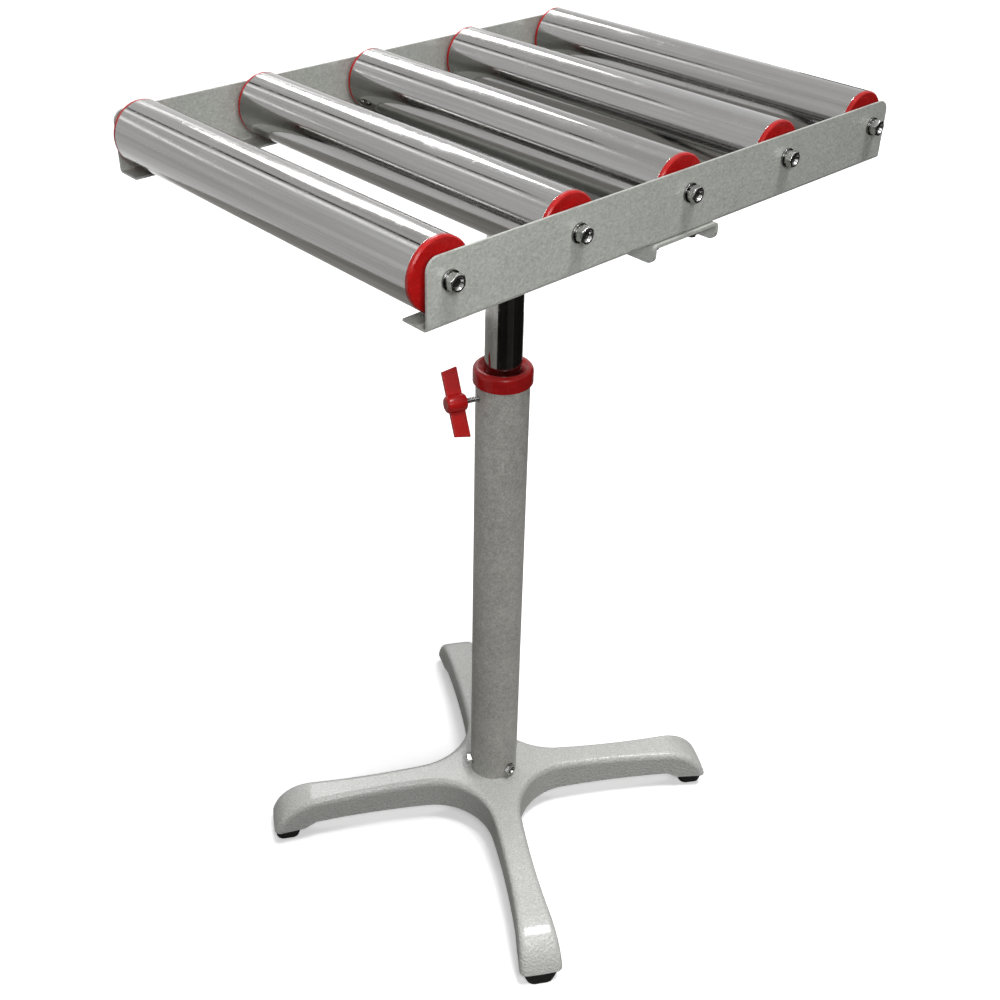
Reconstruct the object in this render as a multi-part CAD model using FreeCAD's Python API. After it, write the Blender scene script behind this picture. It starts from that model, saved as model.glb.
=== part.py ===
import FreeCAD, Part
import math
import os

# Height-adjustable roller support stand. Five free-running rollers lie across two angle rails.
# The rails are bolted to a saddle on a chromed post, which slides and turns in a column tube.
# A wing screw through the red collar bush clamps the post. The column stands on a cast cross base.
# Millimetres. X runs along the rails, Y along the roller axes and Z up.
# The origin is on the floor, on the axis of the column.

V = FreeCAD.Vector

# Roller table
rest_height = 887.0             # floor to the top of the rollers, as stored
roller_count = 5
roller_pitch = 127.0
roller_radius = 28.575
roller_wall = 1.5
roller_tube_length = 390.0
roller_end_gap = 8.0            # from a roller's end cap to the rail beside it
rail_end = 21.0                 # from the axis of an outer roller to the end of the rails
rail_height = 55.0
rail_flange = 27.0
rail_sheet = 2.0
rail_bend_radius = 1.5
rail_corner_radius = 11.0
axle_above_rail_base = 34.6
axle_radius = 6.0

# End caps and bearings of the rollers
cap_flange = 4.0                # between the end of a roller tube and the face of its cap
cap_rim_bevel = 1.2
cap_spigot_length = 20.0
cap_wall = 2.5
bearing_radius = 14.0
bearing_inner_radius = 9.0
bearing_width = 8.0
bearing_recess = 1.0
bearing_groove_depth = 0.4
bearing_groove_margin = 0.9
cap_hub_wall = 3.5
cap_lip_radius = 10.0
cap_lip_thickness = 3.0
spacer_radius = 8.0

# Saddle under the rails
saddle_width = 80.0
saddle_depth = 16.0
saddle_sheet = 3.0
saddle_overhang = 2.0           # past the outer faces of the rails
saddle_bend_radius = 1.5
saddle_corner_radius = 7.0
saddle_bolt_x = 26.0
weld_leg = 5.0

# Post and the parts at its lower end
post_radius = 19.05
post_wall = 2.0
post_bottom = 279.0
guide_height = 22.0
snap_ring_wire = 1.6
snap_ring_depth = 0.8
snap_ring_radial = 2.6
plug_flange_radius = 23.0
plug_flange_thickness = 4.0
plug_spigot_length = 15.0
plug_wall = 2.5

# Column tube and collar bush
column_radius = 27.75
column_wall = 2.0
column_top = 601.0
collar_radius = 30.7
collar_height = 17.5
collar_top_rounding = 5.0
collar_foot_rounding = 0.8
collar_mouth_radius = 25.0
collar_mouth_depth = 4.5
collar_sleeve_length = 41.0

# Clamp screw, its nut, pad and wing handle
clamp_drop = 14.5               # from the top of the column tube to the axis of the screw
clamp_angle = 162.6             # direction of the screw round the column, from +X
clamp_wing_lean = 30.0          # lean of the wings from upright
nut_flats = 10.0
nut_thickness = 3.2
nut_setback = 0.6               # from the tube's bore to the nut's outer face
pad_radius = 4.4
pad_thickness = 2.0
pad_clearance = 0.03
dog_radius = 1.8
dog_length = 1.0
wing_hub_centre = 52.0          # from the axis of the column
wing_hub_length = 22.0
wing_hub_radius = 9.6
wing_hub_crown = 1.2
wing_hub_rounding = 3.5
wing_span = 72.0
wing_tip_slant = 3.0
wing_width = 17.0
wing_thickness = 3.6
wing_rounding = 0.9
screw_in_hub = 15.0

# Cast cross base
leg_count = 4
base_turn = 58.6                # direction of the first leg, from +X
base_top = 67.0
base_flat_radius = 38.0
shoulder_height = 58.5
leg_reach = 273.0
nose_length = 51.0              # from the shoulder of a leg to its tip
waist_reach = 135.0             # from the axis to the narrowest place of a leg
waist_half_width = 15.6
leg_side_radius = 1000.0
web_reach = 53.5                # from the axis to the hollow between two legs
arch_height = 26.5
arch_slope = 15.0               # along the leg, from the arch down to the pad
leg_pad_length = 37.0           # of the pad under the tip of a leg
base_rounding = 7.0
base_wall = 5.0
boss_radius = 33.0
spigot_height = 26.0
spigot_wall = 11.0
spigot_chamfer = 1.5
column_bolt_count = 3
column_bolt_angle = 148.5
column_bolt_rise = 12.5         # above the top of the base
column_bolt_length = 12.0

# Rubber feet
foot_inset = 17.5               # from the reach of a leg to the axis of its foot
foot_height = 19.0
foot_margin = 1.5               # from the edges of a leg's pad to the foot below it
foot_bottom_length = 27.0       # along the leg
foot_bottom_width = 30.0
foot_corner_radius = 9.0
foot_bottom_chamfer = 1.2
foot_recess_radius = 7.0
foot_recess_depth = 9.0
foot_screw_head_radius = 4.8
foot_screw_head = 2.8
foot_screw_depth = 10.0
screw_end_room = 2.0

# Fasteners
m8_radius = 4.0
m8_flats = 13.0
m8_head = 5.3
m8_nut = 6.5
m8_washer_radius = 8.0
m8_washer = 1.6
m8_spring_radius = 6.4
m8_spring = 2.2
m8_spring_split = 2.0
m8_dish_radius = 4.7
m8_dish_depth = 2.2
m6_radius = 3.0
m5_radius = 2.5
bolt_turn = 23.0                # each bolt stops at another angle
axle_bolt_length = 18.0
saddle_bolt_length = 16.0
tap_depth = 24.0

# Clearances
hole_gap = 0.4                  # radial, of a bolt in a plain hole
thread_gap = 0.05               # radial, of a screw in its tapped hole
press_gap = 0.03                # radial, of a piece pushed into its seat
running_gap = 0.08              # radial, of a piece that slides or turns
end_gap = 0.15                  # along the axis, of a piece that turns beside another

# Places that follow from the sizes
axle_z = rest_height - roller_radius
rail_z = axle_z - axle_above_rail_base
cap_face = roller_tube_length / 2 + cap_flange
rail_inner = cap_face + roller_end_gap
rail_outer = rail_inner + rail_sheet
rail_length = (roller_count - 1) * roller_pitch + 2 * rail_end
bearing_face = cap_face - bearing_recess
cap_tube_radius = roller_radius - roller_wall - press_gap
column_bore = column_radius - column_wall
bush_radius = column_bore - running_gap
post_hole = post_radius + running_gap
post_bore = post_radius - post_wall
saddle_underside = rail_z - saddle_sheet
saddle_end = rail_outer + saddle_overhang
saddle_bolt_y = rail_outer - (rail_flange + rail_sheet) / 2
nut_face = column_bore - nut_setback
clamp_height = column_top - clamp_drop
shoulder_radius = leg_reach - nose_length
pad_reach = leg_reach - leg_pad_length
arch_reach = pad_reach - arch_slope
foot_circle_radius = leg_reach - foot_inset
UP = V(0, 0, 1)


def roller_places():
    """X of each roller's axis."""
    middle = (roller_count - 1) / 2
    return [(index - middle) * roller_pitch for index in range(roller_count)]


def radial(angle, reach=1.0):
    return V(reach * math.cos(math.radians(angle)), reach * math.sin(math.radians(angle)), 0)


def cylinder(radius, height, base=V(0, 0, 0), axis=UP):
    return Part.makeCylinder(radius, height, base, axis)


def ring(outer, inner, height, base=V(0, 0, 0), axis=UP):
    return cylinder(outer, height, base, axis).cut(cylinder(inner, height, base, axis))


def line(a, b):
    return Part.LineSegment(a, b).toShape()


def arc(a, middle, b):
    return Part.Arc(a, middle, b).toShape()


def lathe(points):
    """Edges from point to point, each a pair of radius and height, in the XZ plane."""
    ends = [V(radius, 0, height) for radius, height in points]
    return [line(a, b) for a, b in zip(ends[:-1], ends[1:])]


def revolved(edges):
    face = Part.Face(Part.Wire(edges))
    return face.revolve(V(0, 0, 0), UP, 360)


def turned(points):
    """Solid turned about Z from a closed outline."""
    return revolved(lathe(points + points[:1]))


def placed(shape, origin, axis, turn=0.0):
    """A shape made along +Z, turned about itself and then laid along another axis."""
    result = shape.copy()
    turned_about = FreeCAD.Rotation(UP, axis).multiply(FreeCAD.Rotation(UP, turn))
    result.Placement = FreeCAD.Placement(origin, turned_about).multiply(result.Placement)
    return result


def on_column(shape, angle, height, lean=0.0):
    """A shape laid on a radius of the column: its Z points outward and its X leans from upright."""
    outward = radial(angle)
    tilt = math.radians(lean)
    sideways = UP.cross(outward)
    upright = UP * math.cos(tilt) - sideways * math.sin(tilt)
    turn = FreeCAD.Rotation(upright, outward.cross(upright), outward, "ZXY")
    result = shape.copy()
    result.Placement = FreeCAD.Placement(V(0, 0, height), turn).multiply(result.Placement)
    return result


def spread(shape, count, first_angle):
    """Copies at equal angles round the column."""
    copies = []
    for index in range(count):
        copy = shape.copy()
        copy.rotate(V(0, 0, 0), UP, first_angle + index * 360 / count)
        copies.append(copy)
    return copies


def save(name, solids):
    """Write one node, as one solid or as a group of separate solids."""
    shape = solids[0] if len(solids) == 1 else Part.makeCompound(solids)
    shape.exportStep("parts/" + name + ".step")


def hexagon(flats, height):
    corner = flats / math.sqrt(3)
    points = [radial(60 * step, corner) for step in range(7)]
    return Part.Face(Part.makePolygon(points)).extrude(V(0, 0, height))


def chamfered_hexagon(flats, height):
    """Hexagon whose upper corners are turned down by 30 degrees."""
    corner = flats / math.sqrt(3)
    flat = flats * 0.475
    drop = (corner - flat) * math.tan(math.radians(30))
    limit = turned([(0, 0), (corner, 0), (corner, height - drop), (flat, height), (0, height)])
    return hexagon(flats, height).common(limit)


def hex_bolt(length):
    """M8 hexagon bolt with a dished head above the origin and its shank below."""
    floor = m8_head - m8_dish_depth
    above = m8_head + m8_dish_depth
    sloped = m8_dish_radius * 0.75
    rim = m8_dish_radius
    dish = turned([(0, floor), (sloped, floor), (rim, m8_head), (rim, above), (0, above)])
    head = chamfered_hexagon(m8_flats, m8_head).cut(dish)
    return head.fuse(cylinder(m8_radius, length, V(0, 0, -length)))


def spring_washer():
    """Split ring whose slanted gap is cut through one side."""
    washer = ring(m8_spring_radius, m8_radius + hole_gap, m8_spring)
    slot = Part.makeBox(m8_spring_radius * 2, m8_spring_split, m8_spring * 3)
    slot.translate(V(0, -m8_spring_split / 2, -m8_spring))
    slot.rotate(V(0, 0, m8_spring / 2), V(1, 0, 0), 20)
    return washer.cut(slot)


def leg_half_width(reach, inset=0.0):
    """Half the width of a leg at a distance from the column's axis."""
    side_radius = leg_side_radius + inset
    return waist_half_width + leg_side_radius - math.sqrt(side_radius ** 2 - (reach - waist_reach) ** 2)


def base_outline(inset, end_reach):
    """Plan face of the four legs, with hollows between them, moved inward by the inset."""
    side_x = waist_reach
    side_y = waist_half_width + leg_side_radius
    reach = leg_side_radius + web_reach
    square = reach ** 2 - side_x ** 2 - side_y ** 2
    web_centre = square / (2 * math.sqrt(2) * reach - 2 * side_x - 2 * side_y)
    web_radius = math.sqrt(2) * web_centre - web_reach + inset
    side_radius = leg_side_radius + inset
    side = V(side_x, side_y, 0)
    toward_web = (V(web_centre, web_centre, 0) - side).normalize()
    meeting = side + toward_web * side_radius
    end = V(end_reach, leg_half_width(end_reach, inset), 0)
    waist = side - V(0, side_radius, 0)
    web_middle = V(web_centre, web_centre, 0) - radial(45, web_radius)

    def mirrored(point):
        return V(point.x, -point.y, 0)

    def swapped(point):
        return V(point.y, point.x, 0)

    edges = []
    for index in range(leg_count):
        leg = [
            line(mirrored(end), end),
            arc(end, waist, meeting),
            arc(meeting, web_middle, swapped(meeting)),
            arc(swapped(meeting), swapped(waist), swapped(end)),
        ]
        for edge in leg:
            edge.rotate(V(0, 0, 0), UP, 90 * index)
            edges.append(edge)
    return Part.Face(Part.Wire(edges))


def leg_nose():
    """Rounded tip of a leg from its sloped top to its underside, as start, middle and end."""
    slope = math.atan((base_top - shoulder_height) / (shoulder_radius - base_flat_radius))
    radius = (leg_reach - shoulder_radius) / (1 - math.sin(slope))
    centre = V(leg_reach - radius, 0, shoulder_height - radius * math.cos(slope))
    start = math.pi / 2 - slope
    stop = math.asin((foot_height - centre.z) / radius)
    places = []
    for angle in (start, (start + stop) / 2, stop):
        places.append(centre + V(radius * math.cos(angle), 0, radius * math.sin(angle)))
    return places


def base_envelope():
    """Solid turned about the column: arched below, sloped on top and rounded at the tips."""
    shoulder, middle, tip = leg_nose()
    under = lathe([(0, arch_height), (arch_reach, arch_height), (pad_reach, foot_height)])
    under.append(line(V(pad_reach, 0, foot_height), tip))
    nose = arc(tip, middle, shoulder)
    above = lathe([(base_flat_radius, base_top), (0, base_top), (0, arch_height)])
    return revolved(under + [nose, line(shoulder, V(base_flat_radius, 0, base_top))] + above)


def base_hollow():
    """The cored space under the legs, inside their side walls."""
    ceiling = base_top - base_wall
    end_ceiling = shoulder_height - base_wall
    core = turned([
        (boss_radius, 0), (shoulder_radius, 0), (shoulder_radius, end_ceiling),
        (base_flat_radius, ceiling), (boss_radius, ceiling),
    ])
    plan = base_outline(base_wall, leg_reach).extrude(V(0, 0, base_top))
    return core.common(plan)


def make_base():
    """Cast cross base with a spigot for the column tube and a pad under each tip."""
    plan = base_outline(0.0, leg_reach + base_rounding).extrude(V(0, 0, base_top * 2))
    legs = base_envelope().common(plan)

    def is_rim(edge):
        """True for the edges where a leg's upright walls meet its top and its rounded tip."""
        box = edge.BoundBox
        upright = box.XLength < 0.01 and box.YLength < 0.01
        crosses_leg = min(abs(box.Center.x), abs(box.Center.y)) < 0.01
        return box.ZMax > arch_height + 0.01 and not upright and not crosses_leg

    legs = legs.makeFillet(base_rounding, [edge for edge in legs.Edges if is_rim(edge)])
    legs = legs.cut(base_hollow())
    spigot_radius = column_bore - press_gap
    core_radius = spigot_radius - spigot_wall
    spigot_top = base_top + spigot_height
    spigot = turned([
        (0, base_top - 1), (spigot_radius, base_top - 1), (spigot_radius, spigot_top - spigot_chamfer),
        (spigot_radius - spigot_chamfer, spigot_top), (0, spigot_top),
    ])
    casting = legs.fuse(spigot).cut(cylinder(core_radius, spigot_top))
    bolt_z = base_top + column_bolt_rise
    tapped = cylinder(m8_radius + thread_gap, column_bore, V(0, 0, bolt_z), V(1, 0, 0))
    for hole in spread(tapped, column_bolt_count, column_bolt_angle - base_turn):
        casting = casting.cut(hole)
    screw_top = foot_height + foot_screw_depth + screw_end_room
    screw_hole = cylinder(m5_radius + thread_gap, screw_top, V(foot_circle_radius, 0, 0))
    for hole in spread(screw_hole, leg_count, 0):
        casting = casting.cut(hole)
    casting.rotate(V(0, 0, 0), UP, base_turn)
    return casting


def foot_outline(near, far, near_half_width, far_half_width, height):
    """Four-sided section of a foot, from its end near the column to the one at the leg's tip."""
    return Part.makePolygon([
        V(near, -near_half_width, height), V(far, -far_half_width, height), V(far, far_half_width, height),
        V(near, near_half_width, height), V(near, -near_half_width, height),
    ])


def make_foot():
    """Rubber foot of the first leg: as wide as the pad above it, tapered, with a recess for its screw."""
    near = foot_circle_radius - foot_bottom_length / 2
    far = foot_circle_radius + foot_bottom_length / 2
    bottom = foot_outline(near, far, foot_bottom_width / 2, foot_bottom_width / 2, 0)
    pad_near = pad_reach + foot_margin
    pad_far = leg_nose()[2].x - foot_margin
    near_half_width = leg_half_width(pad_near) - foot_margin
    far_half_width = leg_half_width(pad_far) - foot_margin
    top = foot_outline(pad_near, pad_far, near_half_width, far_half_width, foot_height)
    foot = Part.makeLoft([bottom, top], True, True)
    corners = [edge for edge in foot.Edges if edge.BoundBox.ZLength > foot_height / 2]
    foot = foot.makeFillet(foot_corner_radius, corners)
    rim = [edge for edge in foot.Edges if edge.BoundBox.ZMax < 0.01]
    foot = foot.makeChamfer(foot_bottom_chamfer, rim)
    centre = V(foot_circle_radius, 0, 0)
    foot = foot.cut(cylinder(foot_recess_radius, foot_recess_depth, centre))
    return foot.cut(cylinder(m5_radius + thread_gap, foot_height, centre))


def make_foot_screw():
    """Screw of the first leg's foot, with a hexagon socket in its head."""
    bottom = V(foot_circle_radius, 0, foot_recess_depth - foot_screw_head)
    seat = V(foot_circle_radius, 0, foot_recess_depth)
    head = cylinder(foot_screw_head_radius, foot_screw_head, bottom)
    shank = cylinder(m5_radius, foot_height + foot_screw_depth - foot_recess_depth, seat)
    drive = hexagon(foot_screw_head_radius * 0.8, foot_screw_head * 0.6)
    drive.translate(bottom)
    return head.fuse(shank).cut(drive)


def make_column_tube():
    """Column tube over the base's spigot, drilled for its bolts and the clamp screw."""
    column = ring(column_radius, column_bore, column_top - base_top, V(0, 0, base_top))
    bolt_place = V(0, 0, base_top + column_bolt_rise)
    bolt_hole = cylinder(m8_radius + hole_gap, column_radius, bolt_place, V(1, 0, 0))
    for hole in spread(bolt_hole, column_bolt_count, column_bolt_angle):
        column = column.cut(hole)
    clamp_hole = cylinder(m6_radius + hole_gap, column_radius, V(0, 0, clamp_height), radial(clamp_angle))
    return column.cut(clamp_hole)


def column_bolts():
    bolts = []
    bolt = hex_bolt(column_bolt_length)
    bolt.translate(V(0, 0, column_radius))
    for index in range(column_bolt_count):
        angle = column_bolt_angle + index * 360 / column_bolt_count
        bolts.append(on_column(bolt, angle, base_top + column_bolt_rise, bolt_turn * index))
    return bolts


def make_collar():
    """Collar bush: a lip on the column's end and a sleeve that guides the post inside it."""
    top = column_top + collar_height
    bottom = column_top - collar_sleeve_length
    lip = turned([
        (post_hole, bottom), (bush_radius, bottom), (bush_radius, column_top), (collar_radius, column_top),
        (collar_radius, top), (collar_mouth_radius, top), (post_hole, top - collar_mouth_depth),
    ])

    def rim_at(height):
        def test(edge):
            box = edge.BoundBox
            flat = box.ZLength < 0.01 and abs(box.ZMax - height) < 0.01
            return flat and abs(box.XLength - 2 * collar_radius) < 0.01
        return [edge for edge in lip.Edges if test(edge)]

    lip = lip.makeFillet(collar_top_rounding, rim_at(top))
    lip = lip.makeFillet(collar_foot_rounding, rim_at(column_top))
    return lip.cut(nut_pocket())


def nut_pocket():
    """Pocket for the captive nut and the round chamber in which the pad slides."""
    side = nut_flats + 2 * hole_gap
    back = nut_face - nut_thickness - press_gap
    pocket = Part.makeBox(side, side, column_radius - back)
    pocket.translate(V(-side / 2, -side / 2, back))
    chamber = cylinder(pad_radius + running_gap, back + 1)
    return on_column(pocket.fuse(chamber), clamp_angle, clamp_height)


def make_clamp_nut():
    nut = Part.makeBox(nut_flats, nut_flats, nut_thickness)
    nut.translate(V(-nut_flats / 2, -nut_flats / 2, nut_face - nut_thickness))
    nut = nut.cut(cylinder(m6_radius + thread_gap, column_radius))
    return on_column(nut, clamp_angle, clamp_height)


def make_clamp_pad():
    """Swivel pad whose hollow face fits the post."""
    back = post_radius + pad_thickness
    pad = cylinder(pad_radius, back)
    pad = pad.cut(cylinder(dog_radius + running_gap, back, V(0, 0, back - dog_length - end_gap)))
    pad = on_column(pad, clamp_angle, clamp_height)
    reach = 4 * pad_radius
    post = cylinder(post_radius + pad_clearance, reach, V(0, 0, clamp_height - reach / 2))
    return pad.cut(post)


def make_clamp_screw():
    start = post_radius + pad_thickness
    end = wing_hub_centre - wing_hub_length / 2 + screw_in_hub
    dog = cylinder(dog_radius, dog_length, V(0, 0, start - dog_length))
    screw = cylinder(m6_radius, end - start, V(0, 0, start))
    return on_column(screw.fuse(dog), clamp_angle, clamp_height, clamp_wing_lean)


def make_wing_handle():
    """Moulded wing handle: a crowned hub and two flat wings in one piece."""
    low = wing_hub_centre - wing_hub_length / 2
    high = wing_hub_centre + wing_hub_length / 2
    edge_radius = wing_hub_radius - wing_hub_crown
    side = arc(V(edge_radius, 0, low), V(wing_hub_radius, 0, wing_hub_centre), V(edge_radius, 0, high))
    ends = lathe([(edge_radius, high), (0, high), (0, low), (edge_radius, low)])
    hub = revolved([side] + ends)
    rims = [edge for edge in hub.Edges if edge.BoundBox.ZLength < 0.01 and edge.Length > edge_radius * 2]
    hub = hub.makeFillet(wing_hub_rounding, rims)
    inner = wing_hub_centre - wing_width / 2
    outer = wing_hub_centre + wing_width / 2
    long_tip = wing_span / 2
    short_tip = long_tip - wing_tip_slant
    outline = Part.makePolygon([
        V(-long_tip, 0, inner), V(long_tip, 0, inner), V(short_tip, 0, outer), V(-short_tip, 0, outer),
        V(-long_tip, 0, inner),
    ])
    wings = Part.Face(outline).extrude(V(0, wing_thickness, 0))
    wings.translate(V(0, -wing_thickness / 2, 0))
    wings = wings.makeFillet(wing_rounding, wings.Edges)
    start = wing_hub_centre - wing_hub_length / 2
    blind = cylinder(m6_radius + thread_gap, screw_in_hub, V(0, 0, start))
    handle = hub.fuse(wings).cut(blind)
    return on_column(handle, clamp_angle, clamp_height, clamp_wing_lean)


def make_guide_bush():
    """Bush that centres the foot of the post in the column tube."""
    return ring(bush_radius, post_hole, guide_height, V(0, 0, post_bottom + end_gap))


def snap_groove_bottom():
    return post_bottom + guide_height + 2 * end_gap


def make_snap_ring():
    """Open wire ring in the post's groove, above the guide bush."""
    inner = post_radius - snap_ring_depth + press_gap
    snap = ring(inner + snap_ring_radial, inner, snap_ring_wire, V(0, 0, snap_groove_bottom()))
    opening = Part.makeBox(post_radius * 2, post_wall * 3, snap_ring_wire * 3)
    opening.translate(V(0, -post_wall * 1.5, snap_groove_bottom() - snap_ring_wire))
    return snap.cut(opening)


def make_post():
    """Chromed post with the snap ring's groove near its foot."""
    post = ring(post_radius, post_bore, saddle_underside - post_bottom, V(0, 0, post_bottom))
    groove_radius = post_radius - snap_ring_depth
    width = snap_ring_wire + press_gap
    groove = ring(post_radius + 1, groove_radius, width, V(0, 0, snap_groove_bottom() - press_gap / 2))
    return post.cut(groove)


def make_plug():
    """End plug that closes the post and carries the guide bush on its flange."""
    radius = post_bore - press_gap
    bottom = post_bottom - plug_flange_thickness
    plug = cylinder(plug_flange_radius, plug_flange_thickness, V(0, 0, bottom))
    plug = plug.fuse(cylinder(radius, plug_spigot_length, V(0, 0, post_bottom)))
    return plug.cut(cylinder(radius - plug_wall, plug_spigot_length, V(0, 0, post_bottom)))


def make_post_weld():
    """Fillet weld between the post and the saddle."""
    return turned([
        (post_radius, saddle_underside), (post_radius + weld_leg, saddle_underside),
        (post_radius, saddle_underside - weld_leg),
    ])


def make_saddle():
    """Folded channel, open below, with rounded lower corners at its ends."""
    outer = saddle_width / 2
    inner = outer - saddle_sheet
    bottom = rail_z - saddle_depth
    length = 2 * saddle_end
    block = Part.makeBox(saddle_width, length, saddle_depth, V(-outer, -saddle_end, bottom))
    hollow = Part.makeBox(2 * inner, length, saddle_depth - saddle_sheet, V(-inner, -saddle_end, bottom))

    def lengthwise(shape, x, z):
        def test(edge):
            box = edge.BoundBox
            along = box.XLength < 0.01 and box.ZLength < 0.01
            return along and abs(abs(box.XMax) - x) < 0.01 and abs(box.ZMax - z) < 0.01
        return [edge for edge in shape.Edges if test(edge)]

    block = block.makeFillet(saddle_bend_radius + saddle_sheet, lengthwise(block, outer, rail_z))
    hollow = hollow.makeFillet(saddle_bend_radius, lengthwise(hollow, inner, saddle_underside))
    saddle = block.cut(hollow)

    def is_corner(edge):
        box = edge.BoundBox
        across = box.YLength < 0.01 and box.ZLength < 0.01
        return across and abs(box.ZMax - bottom) < 0.01 and abs(abs(box.YMax) - saddle_end) < 0.01

    saddle = saddle.makeFillet(saddle_corner_radius, [edge for edge in saddle.Edges if is_corner(edge)])
    for place in saddle_bolt_places():
        saddle = saddle.cut(cylinder(m8_radius + hole_gap, saddle_depth, place - V(0, 0, saddle_depth)))
    return saddle


def saddle_bolt_places():
    """Points on the saddle's upper face, between the middle roller and its neighbours."""
    places = []
    for x in (-saddle_bolt_x, saddle_bolt_x):
        for y in (-saddle_bolt_y, saddle_bolt_y):
            places.append(V(x, y, rail_z))
    return places


def saddle_fasteners():
    """Bolts from above through rail and saddle, with their washers and nuts below."""
    bolts = []
    washers = []
    nuts = []
    washer = ring(m8_washer_radius, m8_radius + hole_gap, m8_washer)
    nut = chamfered_hexagon(m8_flats, m8_nut).cut(cylinder(m8_radius + thread_gap, m8_nut))
    for index, place in enumerate(saddle_bolt_places()):
        turn = bolt_turn * index
        bolts.append(placed(hex_bolt(saddle_bolt_length), place + V(0, 0, rail_sheet), UP, turn))
        below = V(place.x, place.y, saddle_underside)
        washers.append(placed(washer, below, -UP))
        nuts.append(placed(nut, below - V(0, 0, m8_washer), -UP, turn))
    return bolts, washers, nuts


def make_rail():
    """Front angle rail, flange inward, bent from sheet."""
    start = -rail_length / 2
    outer = -rail_outer
    bend = rail_bend_radius + rail_sheet
    block = Part.makeBox(rail_length, rail_flange, rail_height, V(start, outer, rail_z))
    inside = V(start, outer + rail_sheet, rail_z + rail_sheet)
    space = Part.makeBox(rail_length, rail_flange, rail_height, inside)

    def lengthwise(shape, y, z):
        def test(edge):
            box = edge.BoundBox
            along = box.YLength < 0.01 and box.ZLength < 0.01
            return along and abs(box.YMax - y) < 0.01 and abs(box.ZMax - z) < 0.01
        return [edge for edge in shape.Edges if test(edge)]

    block = block.makeFillet(bend, lengthwise(block, outer, rail_z))
    space = space.makeFillet(rail_bend_radius, lengthwise(space, outer + rail_sheet, rail_z + rail_sheet))
    rail = block.cut(space)

    def is_corner(edge):
        box = edge.BoundBox
        across = box.XLength < 0.01 and box.ZLength < 0.01
        return across and abs(box.ZMax - rail_z - rail_height) < 0.01

    rail = rail.makeFillet(rail_corner_radius, [edge for edge in rail.Edges if is_corner(edge)])
    for x in roller_places():
        hole = cylinder(m8_radius + hole_gap, rail_sheet, V(x, outer, axle_z), V(0, 1, 0))
        rail = rail.cut(hole)
    for place in saddle_bolt_places():
        rail = rail.cut(cylinder(m8_radius + hole_gap, rail_sheet, place))
    return rail


def opposite(shape):
    """The same piece on the other side of the table, turned half a turn about the column."""
    copy = shape.copy()
    copy.rotate(V(0, 0, 0), UP, 180)
    return copy


def along_y(shape, x, distance, side):
    """Lay a piece made along +Z outward along a roller's axis, at a distance from the middle."""
    return placed(shape, V(x, side * distance, axle_z), V(0, side, 0))


def make_axle(x):
    """Axle bar between the rails, tapped at both ends."""
    axle = cylinder(axle_radius, 2 * rail_inner, V(x, -rail_inner, axle_z), V(0, 1, 0))
    for side in (-1, 1):
        end = V(x, side * rail_inner, axle_z)
        axle = axle.cut(cylinder(m8_radius + thread_gap, tap_depth, end, V(0, -side, 0)))
    return axle


def make_roller_tube(x):
    start = V(x, -roller_tube_length / 2, axle_z)
    return ring(roller_radius, roller_radius - roller_wall, roller_tube_length, start, V(0, 1, 0))


def make_cap():
    """End cap with its face at the origin, and its spigot and bearing seat below."""
    seat = bearing_radius + press_gap
    hub = seat + cap_hub_wall
    seat_floor = -(bearing_recess + bearing_width)
    lip = seat_floor - cap_lip_thickness
    web = -cap_flange - cap_wall
    inside = cap_tube_radius - cap_wall
    tube_end = -cap_flange - cap_spigot_length
    return turned([
        (seat, 0), (roller_radius - cap_rim_bevel, 0), (roller_radius, -cap_rim_bevel),
        (roller_radius, -cap_flange), (cap_tube_radius, -cap_flange), (cap_tube_radius, tube_end),
        (inside, tube_end), (inside, web), (hub, web), (hub, lip),
        (cap_lip_radius, lip), (cap_lip_radius, seat_floor), (seat, seat_floor),
    ])


def make_bearing_outer():
    """Outer part of a sealed bearing, with a shallow groove in its shield."""
    bore = bearing_inner_radius + running_gap
    land = bore + bearing_groove_margin
    rim = bearing_radius - 2 * bearing_groove_margin
    floor = -bearing_groove_depth
    return turned([
        (bore, 0), (land, 0), (land, floor), (rim, floor), (rim, 0), (bearing_radius, 0),
        (bearing_radius, -bearing_width), (bore, -bearing_width),
    ])


def make_bearing_inner():
    return ring(bearing_inner_radius, axle_radius + thread_gap, bearing_width, V(0, 0, -bearing_width))


def save_stand():
    save("base_casting", [make_base()])
    for index, foot in enumerate(spread(make_foot(), leg_count, base_turn)):
        save("rubber_foot_%d" % (index + 1), [foot])
    save("foot_screws", spread(make_foot_screw(), leg_count, base_turn))
    save("column_tube", [make_column_tube()])
    save("column_bolts", column_bolts())
    save("collar_bush", [make_collar()])
    save("clamp_nut", [make_clamp_nut()])


def save_clamp():
    save("clamp_pad", [make_clamp_pad()])
    save("clamp_screw", [make_clamp_screw()])
    save("wing_handle", [make_wing_handle()])


def save_post():
    save("post_guide_bush", [make_guide_bush()])
    save("post_snap_ring", [make_snap_ring()])
    save("inner_post", [make_post()])
    save("post_end_plug", [make_plug()])
    save("post_weld", [make_post_weld()])
    save("saddle_channel", [make_saddle()])
    bolts, washers, nuts = saddle_fasteners()
    save("saddle_bolts", bolts)
    save("saddle_washers", washers)
    save("saddle_nuts", nuts)


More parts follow.
